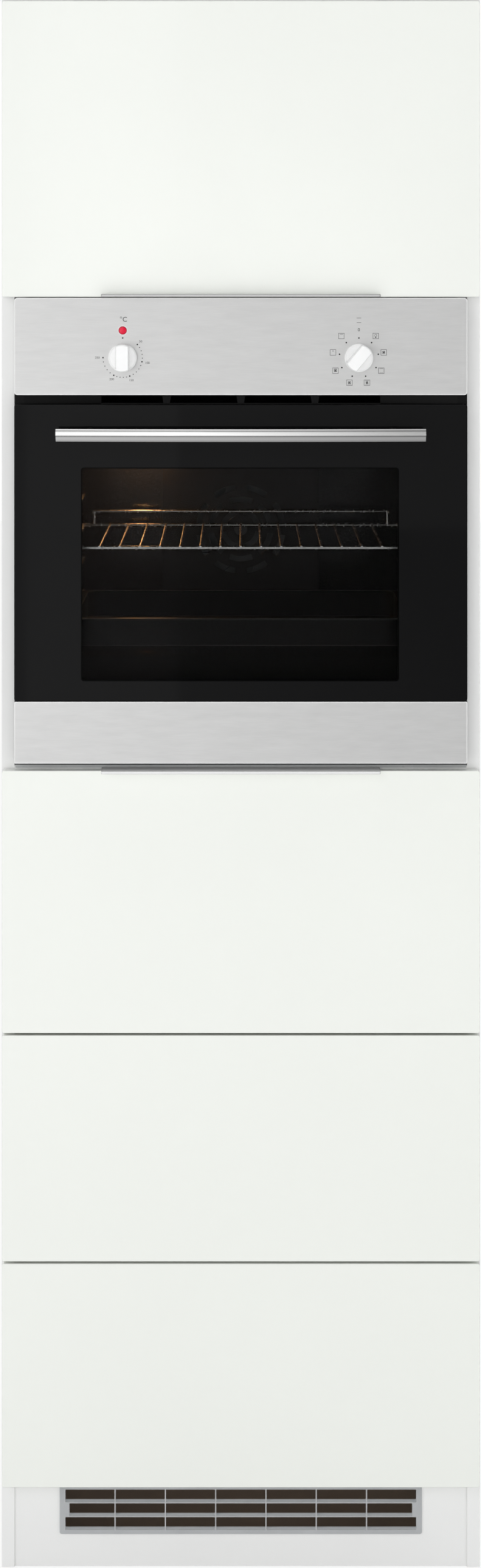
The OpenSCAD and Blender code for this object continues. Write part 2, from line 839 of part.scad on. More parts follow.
// Ring segment in the (x, z) plane, from angle a0 to a1
module arc_slot(r, w, a0, a1) {
    intersection() {
        difference() {
            circle(r = r + w / 2);
            circle(r = r - w / 2);
        }
        polygon([[0, 0], for (a = [a0:(a1 - a0) / 4:a1 + 0.01]) 1.6 * r * [cos(a), sin(a)]]);
    }
}

// Dished cover in front of the fan, with rings of curved slots
module fan_cover() {
    depth = cavity_back - cover_y;
    color("slategray") at_face() difference() {
        translate([0, 0, fan_z]) along_y(cover_y, cavity_back) rounded_rect(cover_w, cover_h, cover_r);
        translate([0, 0, fan_z]) along_y(cover_y + sheet_t, cavity_back + 1)
            rounded_rect(cover_w - 2 * sheet_t, cover_h - 2 * sheet_t, cover_r - 1);
        translate([0, 0, fan_z]) along_y(cover_y - 1, cover_y + 5) {
            circle(d = outlet_d * 2);
            for (ring = [0:2]) {
                n = 4 + 2 * ring;
                for (i = [0:n - 1])
                    arc_slot(slot_r + ring * slot_pitch, slot_w, i * 360 / n + 8, (i + 1) * 360 / n - 8);
            }
        }
        // Side outlets for the hot air
        for (side = [-1, 1], i = [-4:4])
            translate([side * cover_w / 2, cavity_back - depth / 2, fan_z + i * outlet_pitch])
                rod_x(-4, 4, outlet_d);
    }
}

module fan_impeller() {
    blades = 10;
    plate_y = cavity_back - 7;
    color("gray") at_face() translate([0, 0, fan_z]) {
        rod_y(plate_y, plate_y + 1.5, fan_d);
        rod_y(cover_y + 8, plate_y + 1, hub_d);
        rod_y(plate_y, cavity_back + sheet_t + 20, fan_pin);
        for (i = [0:blades - 1]) rotate([0, i * 360 / blades, 0])
            translate([fan_d / 2 - blade_in, 0, 0]) rotate([0, 35, 0])
                block([-blade_l / 2, plate_y - blade_h, -blade_t / 2], [blade_l / 2, plate_y + 0.5, blade_t / 2]);
    }
}

module fan_motor() {
    y0 = cavity_back + sheet_t;
    color("dimgray") at_face() translate([0, 0, fan_z]) difference() {
        union() {
            rod_y(y0, y0 + 6, motor_d);
            rod_y(y0 + 5, y0 + motor_l, motor_d - 22);
            block([-motor_d * 0.72, y0, -12], [motor_d * 0.72, y0 + 2, 12]);
        }
        rod_y(y0 - 1, y0 + 24, fan_pin + 0.3);
    }
}

// Serpentine tube under the ceiling: straight runs joined by half rings
module grill_element() {
    bend_y = cavity_back - grill_end;
    half = grill_pitch / 2;
    x0 = -(grill_runs - 1) * half;
    color("dimgray") at_face() translate([0, 0, cavity_top - grill_down]) {
        for (i = [0:grill_runs - 1]) {
            outer = i == 0 || i == grill_runs - 1;
            translate([x0 + i * grill_pitch, 0, 0]) rod_y(grill_y + half, outer ? cavity_back : bend_y, grill_d);
        }
        for (i = [0:grill_runs - 2]) {
            front = i % 2 == 0;
            translate([x0 + (i + 0.5) * grill_pitch, front ? grill_y + half : bend_y, 0])
                rotate([0, 0, front ? 180 : 0]) rotate_extrude(angle = 180)
                    translate([half, 0]) circle(d = grill_d);
        }
    }
}

// Round lamp on the rear wall, with a domed glass in its ring
module oven_lamp() {
    color("orange") at_face() translate([lamp_x, cavity_back, lamp_z]) rotate([90, 0, 0])
        rotate_extrude() polygon([
            [0, 0], [23, 0], [23, 5], [21, 7], [18, 7],
            for (a = [0:15:90]) [17 * cos(a), 7 + 15 * sin(a)]
        ]);
}

// Control panel and what it carries
module control_panel() {
    w = casing_w;
    color("silver") at_face() difference() {
        union() {
            plate(oven_w, panel_z, panel_top, oven_face, oven_face + sheet_t, 4);
            difference() {
                block([-w / 2, oven_face + sheet_t / 2, panel_z + panel_seat], [w / 2, casing_y, casing_top]);
                block([-w / 2 + sheet_t, oven_face, panel_z + panel_seat + sheet_t],
                      [w / 2 - sheet_t, casing_y + 1, casing_top - sheet_t]);
            }
        }
        for (x = [-knob_x, knob_x]) translate([x, 0, knob_z]) rod_y(oven_face - 1, oven_face + 3, shaft_d + 2);
        translate([-knob_x, 0, signal_z]) rod_y(oven_face - 1, oven_face + 3, signal_d + 0.3);
    }
}

// Knob at its zero mark: a low rim and a raised bar with slightly tapered sides
module knob_form() {
    r = knob_d / 2;
    back = oven_face - knob_gap;
    high = knob_reach - knob_gap;
    half = knob_bar / 2;
    translate([0, back, 0]) {
        rotate([90, 0, 0]) rotate_extrude() polygon([
            [0, 0], [r, 0], [r, knob_rim - 2], [r - 0.5, knob_rim - 0.8], [r - 1.5, knob_rim],
            [r - 2.5, knob_rim - 0.3], [0, knob_rim - 0.3]
        ]);
        intersection() {
            rotate([90, 0, 0]) rotate_extrude() polygon([
                [0, 1], [r - 0.6, 1], [r - 1, high - 1.8], [r - 1.6, high - 0.6], [r - 2.8, high], [0, high]
            ]);
            translate([0, 0, -r]) linear_extrude(2 * r) polygon([
                [-half - 1.3, 0], [half + 1.3, 0], [half + 0.2, 1 - high], [half - 0.6, -high - 1],
                [0.6 - half, -high - 1], [-half - 0.2, 1 - high]
            ]);
        }
    }
    rod_y(back - 2, oven_face + 14, shaft_d);
}

module temperature_knob() {
    color("whitesmoke") at_face() translate([-knob_x, 0, knob_z]) knob_form();
}

module function_knob() {
    color("whitesmoke") at_face() translate([knob_x, 0, knob_z]) rotate([0, function_rest, 0]) knob_form();
}

module indicator_lamp() {
    color("firebrick") at_face() translate([-knob_x, oven_face, signal_z]) rotate([90, 0, 0])
        rotate_extrude() polygon([
            [0, -14], [5.6, -14], [5.6, -sheet_t - 0.1], [signal_d / 2, -sheet_t - 0.1], [signal_d / 2, 0.4],
            for (a = [0:15:90]) [4.6 * cos(a), 0.4 + 1.4 * sin(a)]
        ]);
}

module switch_bodies() {
    y0 = oven_face + sheet_t;
    color("dimgray") at_face() for (x = [-knob_x, knob_x]) translate([x, 0, knob_z]) difference() {
        union() {
            block([-switch_w / 2, y0, -switch_w / 2], [switch_w / 2, y0 + switch_l, switch_w / 2 - 12]);
            for (s = [-12, 0, 12]) block([s - 3, y0 + switch_l - 1, -14], [s + 3, y0 + switch_l + 8, -13]);
        }
        rod_y(y0 - 1, oven_face + 15, shaft_d + 0.2);
    }
}

// Black trim with the cooling-air outlet: four openings between tapered pillars
module air_slot_trim() {
    z0 = door_top + slot_gap;
    z1 = panel_z;
    seat = panel_seat;
    pitch = 92.8;
    half_w = 174.8;
    neck = [4, 5.5];
    color("black") at_face() difference() {
        block([-frame_w / 2, oven_face + 6, z0], [frame_w / 2, frame_y, z1 + seat]);
        for (i = [-2:1]) {
            left = i == -2 ? -half_w : i * pitch;
            right = i == 1 ? half_w : (i + 1) * pitch;
            low = [i == -2 ? 0 : neck[0], i == 1 ? 0 : neck[0]];
            high = [i == -2 ? 0 : neck[1], i == 1 ? 0 : neck[1]];
            along_y(oven_face, frame_y + 1) polygon([
                [left + low[0], z0 + 1.2], [right - low[1], z0 + 1.2],
                [right - high[1], z1 - 1.2], [left + high[0], z1 - 1.2]
            ]);
        }
        // Slanted faces beside the outlet
        both_sides() translate([0, 0, z0 - 1]) linear_extrude(z1 - z0 + seat + 2)
            polygon([[half_w, oven_face], [frame_w / 2 - 12, oven_face], [frame_w / 2 - 12, oven_face + 6],
                     [half_w, oven_face + 16]]);
    }
}

// Oven door
module door_glass() {
    color("black") at_face() plate(oven_w, glass_z, door_top, oven_face, glass_back, 3);
}

module door_inner_glass() {
    color("darkslategray", 0.5) at_face()
        plate(liner_w - 30, view_z - 30, view_top + 50, liner_back, liner_back + glass_t, 6);
}

// Pressed liner: outer rim, rim round the window and a back plate
module door_liner() {
    color("gray") at_face() difference() {
        plate(liner_w, liner_z, liner_top, glass_back, liner_back, 4);
        difference() {
            plate(liner_w - 2 * sheet_t, liner_z + sheet_t, liner_top - sheet_t,
                  glass_back - 1, liner_back - sheet_t, 2.5);
            plate(view_w + 2 * sheet_t, view_z - sheet_t, view_top + sheet_t, glass_back - 2, liner_back, 3);
        }
        plate(view_w, view_z, view_top, glass_back - 1, liner_back + 1, 1.5);
    }
}

// Folded steel strip; its lower return is notched for the hinge arms
module door_strip() {
    t = sheet_t;
    color("silver") at_face() difference() {
        union() {
            plate(oven_w, strip_z, strip_top, oven_face, oven_face + t, 1.5);
            block([-oven_w / 2 + 2, oven_face + t / 2, strip_z + 1], [oven_w / 2 - 2, hinge_y + 4, strip_z + 1 + t]);
            block([-oven_w / 2 + 2, oven_face + t / 2, strip_top - 1 - t], [oven_w / 2 - 2, glass_back, strip_top - 1]);
        }
        both_sides() block([arm_x - arm_w / 2 - 1.5, hinge_y - 9, strip_z - 1],
                           [arm_x + arm_w / 2 + 1.5, hinge_y + 5, strip_z + 4]);
    }
}

module door_hinge_arms() {
    color("silver") at_face() both_sides() translate([arm_x, 0, 0]) difference() {
        union() {
            translate([0, hinge_y, hinge_z]) rod_x(-arm_w / 2, arm_w / 2, arm_eye);
            block([-arm_w / 2, hinge_y, hinge_z - arm_eye / 2], [arm_w / 2, frame_y - 1, hinge_z + arm_eye / 2]);
            block([-arm_plate_w / 2, frame_y - 2, hinge_z - arm_plate_down],
                  [arm_plate_w / 2, frame_y, hinge_z + arm_plate_up]);
        }
        translate([0, hinge_y, hinge_z]) rod_x(-arm_w, arm_w, door_pin + 0.2);
    }
}

// U-shaped bracket under the liner, with the hinge pin
module door_hinge_brackets() {
    inside = arm_w / 2 + fit_gap;
    t = bracket_t;
    color("silver") at_face() both_sides() translate([arm_x, 0, 0]) {
        block([-inside - t, hinge_y - bracket_front, hinge_z + arm_eye / 2 + 0.5],
              [inside + t, hinge_y + bracket_back, liner_z]);
        for (x = [-inside - t, inside])
            block([x, hinge_y - bracket_in, hinge_z - bracket_in], [x + t, hinge_y + bracket_in, liner_z]);
        translate([0, hinge_y, hinge_z]) rod_x(-inside - t, inside + t, door_pin);
    }
}

// Handle bar in (depth, z): an upper face that leans back under its top edge, with a fine
// groove, and a set-back lower face that leans the other way
module bar_profile() {
    h = bar_h / 2;
    split = -0.6;
    top = 1.3;
    heel = 3.6;
    groove = 2.2;
    function face(v) = top * (v - split) / (h - split);
    polygon([
        [top + 2, h], [top + 0.9, h - 0.25], [top + 0.2, h - 1],
        [face(h - groove), h - groove], [face(h - groove) + 0.6, h - groove],
        [face(h - groove) + 0.6, h - groove - 0.7], [face(h - groove - 0.7), h - groove - 0.7],
        [0, split + 0.7], [0.2, split + 0.2], [0.7, split], [2, split],
        [1.6, split - 0.6], [heel, 1.6 - h], [heel + 0.7, 0.5 - h], [heel + 1.8, -h],
        [bar_t - 1.2, -h], [bar_t - 0.3, 0.3 - h], [bar_t, 1.2 - h],
        [bar_t, h - 1.2], [bar_t - 0.3, h - 0.3], [bar_t - 1.2, h]
    ]);
}

module door_handle_bar() {
    a = 2 * asin(bar_w / 2 / bar_r);
    color("silver") at_face() difference() {
        translate([0, bar_front + bar_r, bar_z]) rotate([0, 0, -90 - a / 2])
            rotate_extrude(angle = a, $fn = 2000) translate([bar_r, 0]) mirror([1, 0]) bar_profile();
        // Flat seats for the posts
        both_sides() translate([post_x, 0, bar_z])
            block([-seat_x, seat_y, -bar_h], [seat_x, seat_y + 4, bar_h]);
    }
}

module door_handle_posts() {
    color("silver") at_face() both_sides() translate([post_x, 0, bar_z]) rod_y(seat_y, oven_face, post_d);
}

side_left();
side_right();
top_panel();
bottom_panel();
oven_shelf();
upper_shelf();
back_panels();
wall_rail();
plinth_panel();
plinth_grille();
flap_front();
flap_handle();
flap_hinge_leaves();
flap_hinge_arms();
strut_feet();
strut_cylinders();
strut_rods();
strut_brackets();
drawer_1_front();
drawer_1_handle();
drawer_1_sides();
drawer_1_bottom();
drawer_1_back();
drawer_1_slides();
drawer_2_front();
drawer_2_sides();
drawer_2_bottom();
drawer_2_back();
drawer_2_slides();
drawer_3_front();
drawer_3_sides();
drawer_3_bottom();
drawer_3_back();
drawer_3_slides();
cabinet_runners();
oven_casing();
oven_cavity();
door_seal();
side_racks();
wire_rack();
baking_tray();
fan_cover();
fan_impeller();
fan_motor();
grill_element();
oven_lamp();
control_panel();
temperature_knob();
function_knob();
indicator_lamp();
switch_bodies();
air_slot_trim();
door_glass();
door_inner_glass();
door_liner();
door_strip();
door_handle_bar();
door_handle_posts();
door_hinge_arms();
door_hinge_brackets();
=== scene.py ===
"""Tall oven housing unit: materials, printed marks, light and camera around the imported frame."""
import json
import math

import bmesh
import bpy
from mathutils import Matrix, Vector


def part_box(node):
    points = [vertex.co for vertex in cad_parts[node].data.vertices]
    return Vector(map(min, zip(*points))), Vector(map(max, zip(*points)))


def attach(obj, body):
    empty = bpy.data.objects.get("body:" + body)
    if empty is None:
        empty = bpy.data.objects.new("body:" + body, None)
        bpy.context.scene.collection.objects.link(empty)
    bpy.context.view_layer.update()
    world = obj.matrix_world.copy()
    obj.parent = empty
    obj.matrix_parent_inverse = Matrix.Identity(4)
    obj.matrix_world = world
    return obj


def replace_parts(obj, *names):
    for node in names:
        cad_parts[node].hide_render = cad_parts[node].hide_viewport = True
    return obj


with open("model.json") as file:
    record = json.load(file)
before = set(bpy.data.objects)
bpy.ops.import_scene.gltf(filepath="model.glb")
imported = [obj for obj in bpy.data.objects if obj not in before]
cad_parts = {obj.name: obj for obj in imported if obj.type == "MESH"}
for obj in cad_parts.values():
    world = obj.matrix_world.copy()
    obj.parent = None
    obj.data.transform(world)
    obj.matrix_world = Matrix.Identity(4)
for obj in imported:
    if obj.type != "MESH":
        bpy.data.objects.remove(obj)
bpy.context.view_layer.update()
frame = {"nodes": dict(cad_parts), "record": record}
nodes = frame["nodes"]

MM = 0.001
FACE = -0.246          # front edges of the side panels
VIEW_D = 4.2           # camera to that plane
VIEW_Z = 1.65          # height of the camera
PHOTO_H = 2576         # rows of the photograph
PX = 1310.0            # its pixels for a metre on that plane
CENTRE_PX = 396.0      # column of the unit's middle
FLOOR_PX = 2574.0      # row of the floor
FLOOR = 16             # half the floor's side


def on_plane(px, py, y):
    """Point at depth y that the camera sees at a pixel of the photograph."""
    k = (VIEW_D + y - FACE) / VIEW_D
    return Vector(((px - CENTRE_PX) / PX * k, y, VIEW_Z + ((FLOOR_PX - py) / PX - VIEW_Z) * k))


# Materials

class Look:
    """A node material with one Principled shader."""

    def __init__(self, name, color, rough, metal=0.0, **sockets):
        self.mat = bpy.data.materials.new(name)
        self.mat.use_nodes = True
        self.tree = self.mat.node_tree
        self.tree.nodes.clear()
        self.out = self.tree.nodes.new("ShaderNodeOutputMaterial")
        self.bsdf = self.tree.nodes.new("ShaderNodeBsdfPrincipled")
        self.link(self.bsdf.outputs[0], self.out.inputs[0])
        self.color = (*color, 1.0)
        self.set("Base Color", self.color)
        self.set("Roughness", rough)
        self.set("Metallic", metal)
        for key, value in sockets.items():
            self.set(key.replace("_", " "), value)

    def set(self, socket, value):
        self.bsdf.inputs[socket].default_value = value

    def link(self, a, b):
        self.tree.links.new(a, b)

    def node(self, kind, **values):
        n = self.tree.nodes.new("ShaderNode" + kind)
        for key, value in values.items():
            if key in n.inputs:
                n.inputs[key].default_value = value
            else:
                setattr(n, key, value)
        return n

    def noise(self, scale, stretch=(1, 1, 1), detail=3.0, kind="TexNoise"):
        coord = self.node("TexCoord")
        mapping = self.node("Mapping")
        mapping.inputs["Scale"].default_value = stretch
        self.link(coord.outputs["Object"], mapping.inputs[0])
        tex = self.node(kind)
        tex.inputs["Scale"].default_value = scale
        if kind == "TexNoise":
            tex.inputs["Detail"].default_value = detail
        self.link(mapping.outputs[0], tex.inputs["Vector"])
        return tex.outputs["Color"] if kind == "TexVoronoi" else tex.outputs[0]

    def span(self, value, low, high, start=0.3, end=0.7):
        n = self.node("MapRange")
        n.inputs["From Min"].default_value = start
        n.inputs["From Max"].default_value = end
        n.inputs["To Min"].default_value = low
        n.inputs["To Max"].default_value = high
        self.link(value, n.inputs[0])
        return n.outputs[0]

    def tint(self, value, dark, light, start=0.3, end=0.7):
        """Colour that varies between two shares of the base colour."""
        ramp = self.node("ValToRGB")
        ramp.color_ramp.elements[0].position = start
        ramp.color_ramp.elements[1].position = end
        ramp.color_ramp.elements[0].color = [c * dark for c in self.color[:3]] + [1]
        ramp.color_ramp.elements[1].color = [min(1.0, c * light) for c in self.color[:3]] + [1]
        self.link(value, ramp.inputs[0])
        self.link(ramp.outputs[0], self.bsdf.inputs["Base Color"])
        return self

    def roughness(self, value, low, high):
        self.link(self.span(value, low, high), self.bsdf.inputs["Roughness"])
        return self

    def bump(self, value, distance, strength=1.0, round_edge=0.0):
        n = self.node("Bump")
        n.inputs["Strength"].default_value = strength
        n.inputs["Distance"].default_value = distance
        self.link(value, n.inputs["Height"])
        if round_edge:
            self.link(self.edge(round_edge), n.inputs["Normal"])
        self.link(n.outputs[0], self.bsdf.inputs["Normal"])
        return self

    def paint_light_or_shade_in_box(self, low, high, share=0.02):
        """Painted shade or painted light: a darker or lighter share of the colour between two corners of a
        box.
        """
        parts = self.node("SeparateXYZ")
        self.link(self.node("TexCoord").outputs["Object"], parts.inputs[0])
        inside = None
        for i in range(3):
            for operation, limit in (("GREATER_THAN", low[i]), ("LESS_THAN", high[i])):
                test = self.node("Math", operation=operation)
                test.inputs[1].default_value = limit
                self.link(parts.outputs[i], test.inputs[0])
                if inside is not None:
                    both = self.node("Math", operation="MULTIPLY")
                    self.link(inside, both.inputs[0])
                    self.link(test.outputs[0], both.inputs[1])
                    test = both
                inside = test.outputs[0]
        self.cover(inside, [c * share for c in self.color[:3]])
        return self

    def glow_behind(self, share, mirrored):
        """A white background: part of what the camera and mirrors see glows, in mirrors less to the right."""
        path = self.node("LightPath")
        seen = None
        for key, part in (("Is Camera Ray", share), ("Is Glossy Ray", mirrored),
                          ("Is Transmission Ray", share)):
            ray = self.node("Math", operation="MULTIPLY")
            ray.inputs[1].default_value = part
            self.link(path.outputs[key], ray.inputs[0])
            if seen is None:
                seen = ray.outputs[0]
                continue
            either = self.node("Math", operation="MAXIMUM")
            self.link(seen, either.inputs[0])
            self.link(ray.outputs[0], either.inputs[1])
            seen = either.outputs[0]
        white = self.node("Emission")
        parts = self.node("SeparateXYZ")
        self.link(self.node("TexCoord").outputs["Object"], parts.inputs[0])
        # Mirrored strength falls from 1 at the left to 0.45 at the right
        shade = self.node("Math", operation="MULTIPLY")
        self.link(self.span(parts.outputs[0], 0.0, 0.55, -0.8, 0.9), shade.inputs[0])
        self.link(path.outputs["Is Glossy Ray"], shade.inputs[1])
        self.link(self.span(shade.outputs[0], 1, 0, 0, 1), white.inputs["Strength"])
        mix = self.node("MixShader")
        self.link(seen, mix.inputs[0])
        self.link(self.bsdf.outputs[0], mix.inputs[1])
        self.link(white.outputs[0], mix.inputs[2])
        self.link(mix.outputs[0], self.out.inputs[0])

    def blend(self, a, b):
        """Mean of two values."""
        both = self.node("Math", operation="ADD")
        half = self.node("Math", operation="MULTIPLY")
        half.inputs[1].default_value = 0.5
        self.link(a, both.inputs[0])
        self.link(b, both.inputs[1])
        self.link(both.outputs[0], half.inputs[0])
        return half.outputs[0]

    def cover(self, share, color):
        """Lays a second colour over the base colour."""
        mix = self.node("Mix", data_type="RGBA")
        socket = self.bsdf.inputs["Base Color"]
        self.link(share, mix.inputs[0])
        self.link(socket.links[0].from_socket, mix.inputs[6])
        mix.inputs[7].default_value = (*color, 1)
        self.link(mix.outputs[2], socket)

    def paint_edge_highlight_or_shade(self, radius, color, metal=None):
        """Painted highlight or painted shade: a second colour along the edges, where the rounded normal
        leaves the flat one.
        """
        dot = self.node("VectorMath", operation="DOT_PRODUCT")
        self.link(self.edge(radius), dot.inputs[0])
        self.link(self.node("NewGeometry").outputs["Normal"], dot.inputs[1])
        share = self.span(dot.outputs["Value"], 1.0, 0.0, 0.86, 0.995)
        self.cover(share, color)
        if metal is not None:
            self.link(self.span(share, 1.0, metal, 0.0, 1.0), self.bsdf.inputs["Metallic"])
        return self

    def edge(self, radius):
        n = self.node("Bevel")
        n.samples = 4
        n.inputs["Radius"].default_value = radius
        return n.outputs[0]


def make_looks():
    looks = {}

    # Melamine board: satin, with a faint pebbled press texture
    for slot, color in (("white_board", (0.83, 0.83, 0.82)), ("back_board", (0.74, 0.73, 0.71))):
        m = Look(slot, color, 0.42)
        fine = m.noise(900, detail=2)
        broad = m.noise(6)
        m.tint(broad, 0.985, 1.01).roughness(fine, 0.36, 0.5).bump(fine, 0.00006, 0.5, 0.0006)
        looks[slot] = m.mat

    # High-gloss lacquer with a trace of orange peel
    m = Look("gloss_front", (0.84, 0.856, 0.81), 0.1, Coat_Weight=0.35, Coat_Roughness=0.04)
    peel = m.noise(110, detail=1)
    m.tint(m.noise(3), 0.99, 1.008).roughness(m.noise(25), 0.08, 0.14).bump(peel, 0.00003, 0.25, 0.0011)
    looks["gloss_front"] = m.mat

    # Stainless steel, brushed along x, with a painted highlight along its edges: white and not metallic there
    m = Look("brushed_steel", (0.73, 0.73, 0.725), 0.33, 1.0, Anisotropic=0.5)
    tangent = m.node("Tangent", direction_type="RADIAL", axis="Z")
    m.link(tangent.outputs[0], m.bsdf.inputs["Tangent"])
    streak = m.noise(1.0, (60, 900, 1900), detail=3)
    cloud = m.noise(1.0, (26, 40, 150), detail=2)
    m.tint(m.blend(streak, cloud), 0.95, 1.045).roughness(streak, 0.3, 0.38)
    m.bump(streak, 0.00001, 0.25, 0.0009)
    # Painted highlight: white, non-metallic colour along the edges
    m.paint_edge_highlight_or_shade(0.0026, (1.0, 1.0, 0.99), 0.0)
    looks["brushed_steel"] = m.mat

    # Handles: satin aluminium
    m = Look("handle_metal", (0.7, 0.7, 0.69), 0.24, 1.0)
    grain = m.noise(1.0, (20, 1300, 1300), detail=2)
    m.tint(grain, 0.95, 1.03).roughness(grain, 0.2, 0.3).bump(grain, 0.00001, 0.4, 0.0006)
    looks["handle_metal"] = m.mat

    # Door handle: painted reflections in bands over the bar's height, a light upper face with a darker
    # shoulder, over a darker lower face
    lo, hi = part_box("door_handle_bar")
    m = Look("bar_metal", (0.98, 0.98, 0.975), 0.2, 1.0)
    height = m.node("SeparateXYZ")
    m.link(m.node("TexCoord").outputs["Object"], height.inputs[0])
    share = m.span(height.outputs[2], 0, 1, lo.z, hi.z)
    m.tint(share, 0.47, 1.0, 0.0, 1.0)
    ramp = m.bsdf.inputs["Base Color"].links[0].from_node.color_ramp
    # Painted reflection: shares of the colour at places up the bar's height
    painted_reflection_bands = ((0.05, 0.41), (0.25, 0.57), (0.4, 0.48), (0.455, 0.3), (0.47, 0.3), (0.5, 0.8),
             (0.6, 1.0), (0.76, 0.92), (0.8, 0.6), (0.86, 0.42), (0.93, 0.5), (0.96, 0.9))
    for place, value in painted_reflection_bands:
        ramp.elements.new(place).color = [c * value for c in m.color[:3]] + [1]
    grain = m.noise(1.0, (20, 1300, 1300), detail=2)
    m.roughness(grain, 0.16, 0.26).bump(grain, 0.00001, 0.3, 0.0005)
    looks["bar_metal"] = m.mat

    # Edge handles of one satin metal, with painted shade: darker lines along their bends and edges. The
    # drawer's handle is painted lighter and less metallic than the flap's, against the shade under the door
    # above it
    for slot, color, metal, line, dark in (("flap_grip", (0.64, 0.64, 0.635), 0.6, 0.0022, 0.33),
                                           ("drawer_grip", (0.88, 0.88, 0.875), 0.3, 0.0013, 0.3)):
        m = Look(slot, color, 0.36, metal)
        grain = m.noise(1.0, (20, 1300, 1300), detail=2)
        m.tint(grain, 0.96, 1.03).roughness(grain, 0.32, 0.44).bump(grain, 0.00001, 0.4, 0.0008)
        # Painted shade: darker colour along the bends and edges
        m.paint_edge_highlight_or_shade(line, [dark * c for c in color])
        looks[slot] = m.mat

    # The impeller's steel, painted dark: a shaded copy of the zinc-plated steel for the shade behind the fan
    # cover
    m = Look("fan_steel", (0.1, 0.1, 0.1), 0.4, 1.0)
    m.tint(m.noise(60), 0.8, 1.1).roughness(m.noise(150), 0.34, 0.5)
    looks["fan_steel"] = m.mat

    # Zinc-plated fittings
    m = Look("steel_parts", (0.6, 0.6, 0.59), 0.36, 1.0)
    m.tint(m.noise(60), 0.9, 1.06).roughness(m.noise(150), 0.28, 0.45)
    m.bump(m.noise(400), 0.00003, 0.4, 0.0004)
    looks["steel_parts"] = m.mat

    # Powder-coated box sides
    m = Look("box_steel", (0.62, 0.63, 0.63), 0.45)
    grit = m.noise(1400, detail=1)
    m.tint(m.noise(12), 0.97, 1.02).roughness(grit, 0.4, 0.55).bump(grit, 0.00008, 0.5, 0.0008)
    looks["box_steel"] = m.mat

    # Galvanised sheet with its spangle, and painted shade inside the casing, where the colour falls to a
    # fiftieth
    m = Look("casing_steel", (0.46, 0.47, 0.47), 0.42, 0.55)
    spangle = m.noise(70, kind="TexVoronoi")
    m.tint(spangle, 0.86, 1.1, 0.0, 1.0).roughness(spangle, 0.34, 0.5)
    lo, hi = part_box("oven_casing")
    # Painted shade: the colour inside the casing is darkened to a fiftieth
    m.paint_light_or_shade_in_box((-0.2775, FACE + 0.029, -1.0), (0.2775, FACE + 0.5295, hi.z - 0.6 * MM))
    looks["casing_steel"] = m.mat

    # Dark enamel with fine pale specks
    for slot, color, rough in (("enamel", (0.0035, 0.0035, 0.004), 0.14),
                               ("cover_enamel", (0.012, 0.012, 0.013), 0.26)):
        m = Look(slot, color, rough, Specular_IOR_Level=0.22)
        speck = m.noise(1500, detail=0)
        m.tint(speck, 0.8, 2.2, 0.6, 0.74)
        m.bump(m.noise(160), 0.00002, 0.2, 0.0008)
        looks[slot] = m.mat

    m = Look("tray_enamel", (0.005, 0.005, 0.005), 0.3, Specular_IOR_Level=0.12)
    m.tint(m.noise(600), 0.8, 1.6)
    # Painted highlight: a lighter rim along the tray's edges
    m.paint_edge_highlight_or_shade(0.0008, (0.25, 0.24, 0.23))
    looks["tray_enamel"] = m.mat

    m = Look("slot_black", (0.003, 0.003, 0.003), 0.45, Specular_IOR_Level=0.12)
    m.tint(m.noise(40), 0.85, 1.2)
    looks["slot_black"] = m.mat

    m = Look("black_plastic", (0.012, 0.012, 0.013), 0.38)
    fine = m.noise(1200, detail=1)
    m.tint(m.noise(40), 0.85, 1.2).roughness(fine, 0.3, 0.46).bump(fine, 0.00004, 0.4, 0.0005)
    looks["black_plastic"] = m.mat

    m = Look("grille_plastic", (0.42, 0.43, 0.44), 0.42)
    fine = m.noise(1200, detail=1)
    m.tint(m.noise(30), 0.95, 1.04).roughness(fine, 0.36, 0.5).bump(fine, 0.00004, 0.4, 0.0004)
    # Painted highlight: lighter grey along the edges
    m.paint_edge_highlight_or_shade(0.0007, (0.68, 0.68, 0.68))
    # Painted light: everything more than 1.5 mm behind the grille's front face, the slats, gets twice the
    # colour, against the shade they lie in
    m.paint_light_or_shade_in_box((-1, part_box("plinth_grille")[0].y + 1.5 * MM, -1), (1, 1, 1), 2.0)
    looks["grille_plastic"] = m.mat

    m = Look("knob_plastic", (0.87, 0.87, 0.865), 0.14, Coat_Weight=0.4, Coat_Roughness=0.06)
    m.tint(m.noise(60), 0.985, 1.01).roughness(m.noise(200), 0.12, 0.18)
    m.bump(m.noise(500), 0.00001, 0.2, 0.0006)
    looks["knob_plastic"] = m.mat

    m = Look("signal_red", (0.6, 0.003, 0.03), 0.12, Coat_Weight=0.25, Coat_Roughness=0.03,
             Specular_IOR_Level=0.35, Emission_Color=(0.9, 0.01, 0.07, 1), Emission_Strength=0.16)
    m.tint(m.noise(500), 0.9, 1.1).bump(m.noise(300), 0.00002, 0.3, 0.0012)
    # Painted shade: darker red along the lens's edges
    m.paint_edge_highlight_or_shade(0.0012, (0.08, 0.0, 0.002))
    looks["signal_red"] = m.mat

    m = Look("chrome_wire", (0.86, 0.85, 0.83), 0.22, 1.0)
    m.tint(m.noise(90), 0.88, 1.05).roughness(m.noise(300), 0.16, 0.3)
    looks["chrome_wire"] = m.mat

    m = Look("lamp_glass", (1.0, 0.62, 0.3), 0.2, Emission_Color=(1.0, 0.5, 0.2, 1), Emission_Strength=2.0)
    m.tint(m.noise(200, (1, 1, 1)), 0.9, 1.0)
    looks["lamp_glass"] = m.mat

    m = Look("seal_rubber", (0.03, 0.03, 0.032), 0.6)
    m.tint(m.noise(80), 0.8, 1.2).bump(m.noise(900), 0.00005, 0.5, 0.001)
    looks["seal_rubber"] = m.mat

    m = Look("strut_black", (0.03, 0.03, 0.032), 0.32)
    m.tint(m.noise(90), 0.8, 1.25).roughness(m.noise(300), 0.26, 0.4)
    looks["strut_black"] = m.mat

